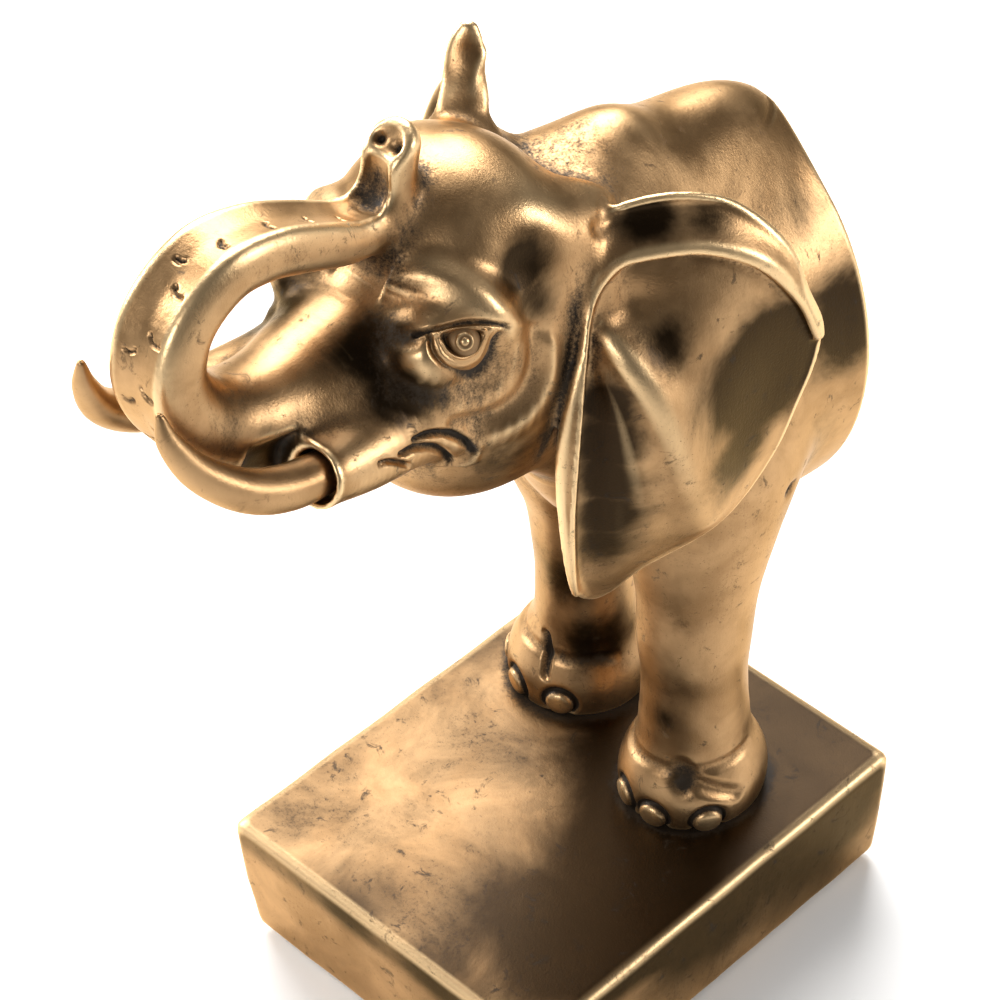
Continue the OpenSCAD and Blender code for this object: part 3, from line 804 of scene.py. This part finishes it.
def antique_gold(name, patina, gloss=0.35, dull=0.0, cloud=1.2):
    """Warm gold paint over resin, with dark patina left in the folds, gold rubbed bright with painted
    highlight on the edges, and painted shade in broad dark patches.
    """
    n = Nodes(name)
    blotch = n.noise(16, 4, 0.6, twist=0.4)
    speck = n.noise(0.55, 3, 0.8)
    streak = n.noise(1.9, 4, 0.7, n.stretch((1.3, 1.3, 0.2), (8, 5, 0)))
    smoke = n.noise(24, 5, 0.65, twist=0.5)
    swell = n.math("MULTIPLY", n.attribute("swell"), -1.5)
    dirt = n.math("MULTIPLY_ADD", n.attribute("hollow"), 1.3, swell)
    for grain, strength in ((streak, 1.0), (speck, 1.3), (smoke, 1.6)):
        dirt = n.math("ADD", dirt, n.math("MULTIPLY_ADD", grain, strength, -strength / 2))
    fleck = n.math("MULTIPLY", n.rise(speck, 0.60, 0.72), n.rise(smoke, 0.38, 0.62, 0.1, 0.8))
    smudge = n.rise(n.noise(4.5, 5, 0.75, twist=0.6), 0.58, 0.70, 0.0, 0.7)
    fleck = n.math("MAXIMUM", fleck, smudge)
    dirt = n.math("MULTIPLY", n.math("MAXIMUM", n.rise(dirt, 0.12, 1.05), fleck), patina, clamp=True)
    # Painted shade: the broad dark patches stored at each point, partly patina, with random mottling and a
    # set darkening, turn the gold dark brown.
    shade = n.math("ADD", n.attribute("tone"), n.math("MULTIPLY_ADD", smoke, cloud, dull - cloud / 2))
    shaded = n.mix(n.rise(shade, 0.05, 0.65), n.mix(n.rise(blotch, 0.3, 0.7), TAN, PALE_TAN), SHADE_AND_MOTTLE_BROWN)
    # Rubbed wear and painted highlight: sharp edges turn bright gold.
    paint = n.mix(n.rise(n.attribute("edge"), 0.02, 0.12), shaded, RUBBED_AND_HIGHLIGHT_GOLD)
    polish = n.rise(blotch, 0.25, 0.75, gloss - 0.03, gloss + 0.07)
    pits = n.rise(n.cells(1.6), 0.0, 0.16)
    fine = n.bump(n.noise(0.5, 3, 0.6), 0.06, 0.7)
    brushed = n.bump(streak, 0.08, 0.5, fine)
    n.set(
        Base_Color=n.mix(dirt, paint, PATINA),
        Metallic=n.rise(dirt, 0.2, 0.9, 0.95, 0.2),
        Roughness=n.math("ADD", polish, n.math("MULTIPLY", dirt, 0.3)),
        Specular_IOR_Level=0.25,
        Specular_Tint=(1.0, 0.80, 0.56, 1),
        Coat_Weight=0.06,
        Coat_Roughness=0.3,
        Normal=n.bump(pits, 0.06, 0.3, brushed),
    )
    return n.material


def steel_material():
    n = Nodes("grey_steel")
    grain = n.noise(1.5, 4, 0.6)
    n.set(
        Base_Color=n.mix(grain, (0.28, 0.28, 0.29), (0.52, 0.52, 0.53)),
        Metallic=0.95,
        Roughness=n.rise(grain, 0.2, 0.8, 0.3, 0.5),
        Normal=n.bump(grain, 0.05, 0.4),
    )
    return n.material


def iron_material():
    n = Nodes("cast_iron")
    sand = n.noise(0.9, 4, 0.7)
    rust = n.rise(n.noise(12, 4, 0.6), 0.5, 0.75)
    n.set(
        Base_Color=n.mix(rust, (0.045, 0.045, 0.048), (0.13, 0.05, 0.022)),
        Metallic=n.rise(rust, 0, 1, 0.8, 0.2),
        Roughness=n.rise(sand, 0.2, 0.8, 0.5, 0.75),
        Normal=n.bump(sand, 0.25, 0.7),
    )
    return n.material


def wood_material():
    n = Nodes("dowel_beech")
    grain = n.noise(1.2, 4, 0.6, n.stretch((1, 0.08, 0.5)))
    n.set(
        Base_Color=n.mix(grain, (0.48, 0.30, 0.15), (0.66, 0.46, 0.26)),
        Roughness=n.rise(grain, 0.2, 0.8, 0.5, 0.65),
        Normal=n.bump(grain, 0.1, 0.5),
    )
    return n.material


def felt_material():
    n = Nodes("green_felt")
    fibres = n.noise(0.5, 5, 0.8, twist=1.5)
    tufts = n.noise(3.5, 4, 0.7)
    n.set(
        Base_Color=n.mix(tufts, (0.020, 0.034, 0.024), (0.055, 0.090, 0.062)),
        Roughness=n.rise(fibres, 0.2, 0.8, 0.85, 1.0),
        Normal=n.bump(fibres, 0.3, 0.9),
        Sheen_Weight=0.4,
    )
    return n.material


# ---------------------------------------------------------------- pieces


def finish_piece(mesh, name, material, nodes):
    """Shows a mesh as a piece that stands for some CAD nodes."""
    piece = bpy.data.objects.new(name, mesh)
    bpy.context.scene.collection.objects.link(piece)
    mesh.materials.append(material)
    mesh.polygons.foreach_set("use_smooth", [True] * len(mesh.polygons))
    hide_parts(*nodes)
    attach(piece, "root")
    return piece


def set_layers(mesh, hollow=0.0, edge=0.0, swell=0.0, tone=0.0):
    """Stores what the gold material reads at each point. Every value is a number or one per point."""
    for name, value in (("hollow", hollow), ("edge", edge), ("swell", swell), ("tone", tone)):
        value = np.broadcast_to(value, len(mesh.vertices)).astype(np.float32)
        mesh.attributes.new(name, "FLOAT", "POINT").data.foreach_set("value", value)


def read(items, name, width=1, kind=np.float32):
    """One row of values from each vertex, edge, face or corner of a mesh."""
    values = np.zeros(width * len(items), kind)
    items.foreach_get(name, values)
    return values.reshape(-1, width) if width > 1 else values


def new_mesh(name, points, corners, sizes):
    """A mesh from its points, the corners of all its faces in one row, and how many each face has."""
    mesh = bpy.data.meshes.new(name)
    mesh.vertices.add(len(points))
    mesh.vertices.foreach_set("co", points.ravel())
    mesh.loops.add(len(corners))
    mesh.loops.foreach_set("vertex_index", corners)
    mesh.polygons.add(len(sizes))
    mesh.polygons.foreach_set("loop_start", np.cumsum(sizes) - sizes)
    mesh.update(calc_edges=True)
    return mesh


def shelter(s, points, normals):
    """How hollow the surface is round each point, from 0 on open ground to 1 in a crease."""
    total = np.zeros(len(points))
    for reach, weight in ((0.9, 0.3), (1.8, 0.35), (3.6, 0.35)):
        room = s.sample(points + normals * reach)
        total += weight * np.clip(1 - room / reach, 0, 1)
    return total


def sharpness(s, points, normals, reach):
    """How much the surface bends away round each point. Edges are positive, grooves negative."""
    across = np.cross(normals, np.roll(normals, 1, 1) + (0.1, 0.2, 0.3))
    across /= np.linalg.norm(across, axis=1)[:, None]
    along = np.cross(normals, across)
    total = np.zeros(len(points))
    for k in range(6):
        angle = k * math.pi / 3
        total += s.sample(points + reach * (math.cos(angle) * across + math.sin(angle) * along))
    return total / 6 / reach


def settle(s, points, rounds=2):
    """Moves the skin's points onto the true surface."""
    for _ in range(rounds):
        slope = s.slope(points, 0.5 * s.step)
        points = points - np.clip(s.sample(points), -0.4, 0.4)[:, None] * slope * 0.9
    return points


def refine(mesh, spots):
    """Splits the faces near some spots into four."""
    bm = bmesh.new()
    bm.from_mesh(mesh)
    place = np.array([v.co for v in bm.verts])
    near = np.zeros(len(place), bool)
    for centre, radius in spots:
        near |= ((place - centre) ** 2).sum(1) < radius**2
    edges = [e for e in bm.edges if near[e.verts[0].index] and near[e.verts[1].index]]
    bmesh.ops.subdivide_edges(bm, edges=edges, cuts=1, use_grid_fill=True)
    bm.to_mesh(mesh)
    bm.free()


def whole_skin(s):
    """The elephant's skin as one mesh in millimetres, fine where its detail is."""
    points, faces = s.skin()
    mesh = new_mesh("skin", points, faces.ravel(), np.full(len(faces), 4))
    refine(mesh, FINE_SPOTS)
    refine(mesh, FINEST_SPOTS)
    return mesh


def relax(mesh, points, rounds=5):
    """Evens the points out, so that the grid's steps don't show."""
    a, b = read(mesh.edges, "vertices", 2, np.int32).T
    count = np.bincount(a, minlength=len(points)) + np.bincount(b, minlength=len(points))
    length = np.linalg.norm(points[a] - points[b], axis=1)
    mean = (np.bincount(a, length, len(points)) + np.bincount(b, length, len(points))) / count
    fine = ramp(0.8, 0.6, mean / GRID)[:, None]
    for k in range(rounds):
        total = np.stack([
            np.bincount(a, points[b, axis], len(points)) + np.bincount(b, points[a, axis], len(points))
            for axis in range(3)], 1)
        share = np.where(k < 1, 0.5, 0.5 * fine)
        points = points + share * (total / count[:, None] - points)
    return points


def share_out(s, points):
    """Which part each point belongs to."""
    cell = np.clip(np.round((points - s.low) / s.step).astype(int), 0, s.size - 1)
    part = s.part[tuple(cell.T)].astype(int)
    x, y, z = points.T
    trunkless = np.isin(part, (BODY, HEAD))
    part[trunkless & (y < NECK_Y)] = HEAD
    part[trunkless & (y >= NECK_Y)] = BODY
    leg = np.isin(part, (BODY, LEFT_LEG, RIGHT_LEG))
    low = leg & (z < HIP_Z) & (y < LEG_BACK_Y) & (y > LEG_FRONT_Y)
    part[leg & ~low] = BODY
    part[low & (x > LEG_INNER_X)] = LEFT_LEG
    part[low & (x < -LEG_INNER_X)] = RIGHT_LEG
    return part


def body_pieces(s, material):
    """Draws the skin, details it, and shares it out between the elephant's parts."""
    skin = whole_skin(s)
    points = relax(skin, settle(s, read(skin.vertices, "co", 3).astype(float)))
    normals = s.slope(points, 0.9 * s.step)
    hollow = shelter(s, points, normals)
    # Sharp edges, later rubbed bright gold with painted highlight.
    edge = sharpness(s, points, normals, 1.4)
    swell = sharpness(s, points, normals, 4.0)
    details = draw_details(points)
    points += normals * details.height[:, None]
    hollow = np.clip(hollow + details.ink, 0, 1.5)
    edge += 0.06 * np.clip(details.height, -1, 1)
    skin.vertices.foreach_set("co", points.ravel())
    skin.update()
    smooth = read(skin.vertex_normals, "vector", 3)
    total = read(skin.polygons, "loop_total", kind=np.int32)
    corner = read(skin.loops, "vertex_index", kind=np.int32)
    part = share_out(s, read(skin.polygons, "center", 3).astype(float))
    owner = np.repeat(part, total)
    for value, name in PART_NAMES.items():
        used, renumbered = np.unique(corner[owner == value], return_inverse=True)
        mesh = new_mesh(name, points[used] * MM, renumbered.ravel(), total[part == value])
        set_layers(mesh, hollow[used], edge[used], swell[used], details.tone[used])
        finish_piece(mesh, name + "_sculpted", material, [name])
        mesh.normals_split_custom_set_from_vertices(smooth[used].tolist())
    bpy.data.meshes.remove(skin)


def ring_faces(rings, sides):
    """Four-sided faces between each ring of points and the next."""
    return [
        (start + k, start + (k + 1) % sides, start + sides + (k + 1) % sides, start + sides + k)
        for start in range(0, (rings - 1) * sides, sides) for k in range(sides)]


def closed_mesh(name, points, faces):
    """A mesh from points in millimetres, in rows of any shape, with its faces turned outwards."""
    mesh = bpy.data.meshes.new(name)
    mesh.from_pydata((points.reshape(-1, 3) * MM).tolist(), [], faces)
    bm = bmesh.new()
    bm.from_mesh(mesh)
    bmesh.ops.recalc_face_normals(bm, faces=bm.faces)
    bm.to_mesh(mesh)
    bm.free()
    return mesh


def tube_mesh(name, rows, rings, sides):
    """A closed tube of round rings along a curve, with its two ends gathered to a point."""
    s = smooth_curve(rows, rings)
    ahead = np.gradient(s[:, :3], axis=0)
    ahead /= np.linalg.norm(ahead, axis=1)[:, None]
    across = np.cross(ahead, [0, 0, 1.0])
    across /= np.linalg.norm(across, axis=1)[:, None]
    up = np.cross(across, ahead)
    angle = np.linspace(0, 2 * np.pi, sides, endpoint=False)[:, None]
    rim = np.cos(angle) * across[:, None] + np.sin(angle) * up[:, None]
    ring = s[:, None, :3] + s[:, None, 3:] * rim
    first = rings * sides
    faces = ring_faces(rings, sides)
    for k in range(sides):
        n = (k + 1) % sides
        faces.append((first, n, k))
        faces.append((first + 1, first - sides + k, first - sides + n))
    return closed_mesh(name, np.vstack([ring.reshape(-1, 3), s[0, :3], s[-1, :3]]), faces)


# ---------------------------------------------------------------- tusks, eyes, base, hidden parts

TUSK_ROWS = [
    (15.2, -72, 184.0, 3.9), (15.5, -83, 186.6, 4.2), (14.8, -92, 191.4, 3.9), (12.6, -99.6, 199, 3.2),
    (10.6, -103.6, 207, 2.2), (9.8, -104.4, 212.5, 0.9), (9.75, -104.5, 213.6, 0.25)]


def build_tusks(material):
    for side, name in ((1, "left_tusk"), (-1, "right_tusk")):
        rows = [(side * x, y, z, r) for x, y, z, r in TUSK_ROWS]
        mesh = tube_mesh(name, rows, 60, 32)
        set_layers(mesh)
        finish_piece(mesh, name + "_curved", material, [name])


EYE_GAZE = np.array([0.72, -0.40, 0.57])
EYE_RADIUS = 3.3


def end_faces(rings, sides):
    """One face over the first ring of points and one over the last."""
    return [tuple(range(sides))[::-1], tuple(range((rings - 1) * sides, rings * sides))]


def build_eyes(material):
    """An eyeball with a raised ring round a raised pupil."""
    gaze = EYE_GAZE / np.linalg.norm(EYE_GAZE)
    across = np.cross(gaze, (0, 0, 1))
    across /= np.linalg.norm(across)
    up = np.cross(across, gaze)
    centre = EYE_MIDDLE - (EYE_RADIUS + 0.9) * gaze
    arc = np.concatenate([np.linspace(0.05, 2.6, 50), np.linspace(2.8, math.pi * EYE_RADIUS - 0.2, 16)])
    turn = np.linspace(0, 2 * math.pi, 56, endpoint=False)[:, None]
    rim = np.cos(turn) * across + np.sin(turn) * up
    ring = bell(arc - 1.35, 0.2)
    pupil = np.sqrt(np.clip(1 - (arc / 0.75) ** 2, 0, 1))
    radius = EYE_RADIUS + 0.25 * ring + 0.35 * pupil
    stain = bell(arc - 0.95, 0.18) + 0.9 * ramp(1.5, 1.9, arc)
    sides = len(turn)
    stain = np.repeat(stain, sides)
    # Painted highlight, partly rubbed gold: the raised ring and pupil are made bright.
    shine = np.repeat(0.1 * ring + 0.1 * pupil, sides)
    bend = (arc / EYE_RADIUS)[:, None, None]
    ball = centre + radius[:, None, None] * (np.cos(bend) * gaze + np.sin(bend) * rim)
    faces = ring_faces(len(arc), sides) + end_faces(len(arc), sides)
    for side, name in ((1, "left_eye"), (-1, "right_eye")):
        mesh = closed_mesh(name, ball * (side, 1, 1), faces)
        set_layers(mesh, stain, shine)
        finish_piece(mesh, name + "_ball", material, [name])


class Block:
    """An upright block with rounded edges. Its front and sides draw in a little towards the bottom."""

    def __init__(self, low, high, round_off, tuck):
        self.low = np.array(low, np.float32)
        self.high = np.array(high, np.float32)
        self.round_off = round_off
        self.tuck = tuck

    def __call__(self, p):
        drop = (self.high[2] - p[..., 2]) / (self.high[2] - self.low[2])
        tuck = self.tuck * np.clip(drop, 0, 1) ** 1.5
        out = np.abs(p[..., 0]) - (self.high[0] - tuck)
        front = (self.low[1] + tuck) - p[..., 1]
        back = p[..., 1] - self.high[1]
        over = p[..., 2] - self.high[2]
        under = self.low[2] - p[..., 2]
        q = np.stack([out, np.maximum(front, back), np.maximum(over, under)], -1) + self.round_off
        far = np.sqrt((np.maximum(q, 0) ** 2).sum(-1))
        return far + np.minimum(q.max(-1), 0) - self.round_off


# Broad dark patches on the block, painted shade and painted reflection of the elephant's dark underside:
# centre, radius and strength.
PLINTH_SHADES = [
    ((26, 34, 34), 30, 1.2), ((36, 0, 34), 22, 1.1), ((-2, 34, 34), 20, 0.6), ((28, -28, 34), 18, 0.5),
    ((-10, -55, 30), 9, 0.25), ((20, -55, 26), 12, 0.3), ((44, 20, 8), 14, 0.25), ((-44, 20, 20), 16, 0.25)]


def build_plinth(material, elephant):
    """The block: rounded, slightly uneven, rubbed bright with painted highlight on its edges, darkened by
    painted shade in broad patches, lightened on its sides by painted reflection, and grimy round the feet.
    """
    low, high = (np.array(c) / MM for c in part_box("plinth"))
    s = Sculpture(low - 4, high + 4, 1.8 * GRID)
    s.add(Block(low, high, 2.0, 2.4), 0, BODY)
    points, faces = s.skin()
    points = settle(s, points)
    normals = s.slope(points, 0.8 * s.step)
    # The block's edges: rubbed gold with painted highlight.
    edge = 0.55 * sharpness(s, points, normals, 1.5)
    chisel = Chisel(points)
    # Painted shade and reflection in broad dark patches.
    for place, radius, strength in PLINTH_SHADES:
        chisel.shade(np.array(place, float), radius, strength)
    near_feet = elephant.sample(np.maximum(points, elephant.low)) + np.where(points[:, 2] < 31, 9, 0)
    grime = 0.8 * bell(near_feet, 1.6)
    x, y, z = points.T
    wave = 0.18 * np.sin(x / 7.0 + 1.3 * np.sin(y / 9.0)) * np.sin(y / 8.0 + z / 6.0 + 0.7)
    points = points - normals * (np.abs(wave) * ramp(0, 3.0, high[1] - y))[:, None]
    # Painted reflection of the floor: the block's sides below its top are made lighter.
    tone = chisel.tone - 0.35 * ramp(30, 24, z)
    mesh = new_mesh("plinth", points * MM, faces.ravel(), np.full(len(faces), 4))
    set_layers(mesh, grime, edge, 0.02 * ramp(10, 0, z), tone)
    finish_piece(mesh, "plinth_block", material, ["plinth"])
    mesh.normals_split_custom_set_from_vertices(normals.tolist())


FELT_INSET = 2.4
FELT_CORNER = 5.0
# The felt's cut edge: how far in each ring of points lies, and how high up the felt it is.
FELT_RINGS = [(6.0, 0.0), (0.9, 0.0), (0.15, 0.25), (0.0, 0.6), (0.25, 0.9), (1.4, 1.0), (6.0, 1.0)]


def build_felt(material):
    """The felt under the block, cut a little smaller than its bottom, with soft rounded edges."""
    low, high = (np.array(c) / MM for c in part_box("felt_pad"))
    middle = (low + high) / 2
    half = (high - low) / 2 - FELT_INSET
    turns = np.radians(np.arange(0, 360, 7.5))
    round_out = np.stack([np.cos(turns), np.sin(turns)], 1)
    just_past = turns + 1e-6
    quarter = np.sign(np.stack([np.cos(just_past), np.sin(just_past)], 1))
    corner = quarter * (half[:2] - FELT_CORNER)
    fray = 0.12 * np.sin(7 * turns) * np.sin(3 * turns + 1)
    points = []
    for inset, share in FELT_RINGS:
        ring = middle[:2] + corner + (FELT_CORNER - inset + fray)[:, None] * round_out
        points += [(x, y, low[2] + share * (high[2] - low[2])) for x, y in ring]
    size = (len(FELT_RINGS), len(turns))
    mesh = closed_mesh("felt", np.array(points), ring_faces(*size) + end_faces(*size))
    finish_piece(mesh, "felt_pad_cut", material, ["felt_pad"])


INNER_MATERIALS = {
    iron_material: ("ballast",),
    steel_material: ("bottom_plate", "plate_screws", "leg_rods", "leg_nuts", "leg_washers", "trunk_wire"),
    wood_material: ("neck_dowel",)}


def dress_hidden_parts():
    """Gives the pieces inside the casting their materials."""
    for make, names in INNER_MATERIALS.items():
        material = make()
        for name in names:
            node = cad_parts[name]
            if not node.material_slots:
                node.data.materials.append(None)
            for slot in node.material_slots:
                slot.material = material


# ---------------------------------------------------------------- floor, light, camera

CAM_AZIMUTH = math.radians(45.176)
CAM_RISE = math.radians(43.063)
CAM_ROLL = math.radians(-1.305)
CAM_DISTANCE = 0.7709
CAM_RIGHT = -0.0132
CAM_UP = 0.04696
CAM_TARGET_Z = 0.0528
CAM_LENS = 133.34
FLOOR_HALF = 3.0
LIGHT_AIM = (0, -0.03, 0.13)
# Each studio light: where it stands, its width and height, and its watts.
LIGHTS = {
    "key": ((-0.60, 0.42, 0.88), (0.95, 0.7), 24),
    "left": ((-0.85, -0.35, 0.5), (0.3, 0.45), 8),
    "right": ((0.75, 0.55, 0.45), (0.2, 0.45), 5),
    "front": ((0.1, -1.0, 0.6), (0.45, 0.45), 5)}


def show(name, data):
    """Puts something new in the scene."""
    item = bpy.data.objects.new(name, data)
    bpy.context.scene.collection.objects.link(item)
    return item


def build_camera():
    """A long lens, high on the elephant's left front."""
    level = math.cos(CAM_RISE)
    back = np.array([math.sin(CAM_AZIMUTH) * level, -math.cos(CAM_AZIMUTH) * level, math.sin(CAM_RISE)])
    right = np.cross([0, 0, 1], back)
    right /= np.linalg.norm(right)
    up = np.cross(back, right)
    c, s = math.cos(CAM_ROLL), math.sin(CAM_ROLL)
    right, up = c * right + s * up, -s * right + c * up
    place = np.array([0, 0, CAM_TARGET_Z]) + back * CAM_DISTANCE + right * CAM_RIGHT + up * CAM_UP
    data = bpy.data.cameras.new("camera")
    data.sensor_width = 36
    data.lens = CAM_LENS
    data.clip_start = 0.05
    data.clip_end = 50
    camera = show("camera", data)
    camera.matrix_world = Matrix([*zip(right, up, back, place), (0, 0, 0, 1)])
    bpy.context.scene.camera = camera


def soft_light(name, place, size, power):
    """A rectangular studio light that points at the elephant."""
    data = bpy.data.lights.new(name, "AREA")
    data.shape = "RECTANGLE"
    data.size, data.size_y = size
    data.energy = power
    light = show(name, data)
    light.location = place
    light.rotation_euler = (Vector(LIGHT_AIM) - Vector(place)).to_track_quat("-Z", "Y").to_euler()


def build_stage():
    """A white floor under even, warm light."""
    mesh = bpy.data.meshes.new("floor")
    corners = [(x * FLOOR_HALF, y * FLOOR_HALF, 0) for x, y in ((-1, -1), (1, -1), (1, 1), (-1, 1))]
    mesh.from_pydata(corners, [], [(0, 1, 2, 3)])
    n = Nodes("floor_white")
    n.set(Base_Color=(0.93, 0.925, 0.915, 1), Roughness=0.6)
    mesh.materials.append(n.material)
    show("floor", mesh)
    bpy.context.scene.view_settings.view_transform = "Standard"
    world = bpy.data.worlds.new("studio")
    bpy.context.scene.world = world
    world.use_nodes = True
    background = world.node_tree.nodes["Background"].inputs
    background["Color"].default_value = (1.0, 0.985, 0.96, 1)
    background["Strength"].default_value = 0.1
    for name, (place, size, power) in LIGHTS.items():
        soft_light(name, place, size, power)


# ---------------------------------------------------------------- assembly

PART_NAMES = {
    BODY: "torso", LEFT_LEG: "left_foreleg", RIGHT_LEG: "right_foreleg", HEAD: "head",
    TRUNK: "trunk", LEFT_EAR: "left_ear", RIGHT_EAR: "right_ear"}
NECK_Y = -4
HIP_Z = 106
LEG_FRONT_Y = -4
LEG_BACK_Y = 47
LEG_INNER_X = 2

gold = antique_gold("antique_gold", patina=1.0)
tusk_gold = antique_gold("tusk_gold", patina=0.5)
base_gold = antique_gold("base_gold", 1.0, gloss=0.46, dull=0.40, cloud=0.5)

elephant = sculpt(GRID)
body_pieces(elephant, gold)
build_tusks(tusk_gold)
build_eyes(tusk_gold)
build_plinth(base_gold, elephant)
build_felt(felt_material())
dress_hidden_parts()
build_stage()
build_camera()
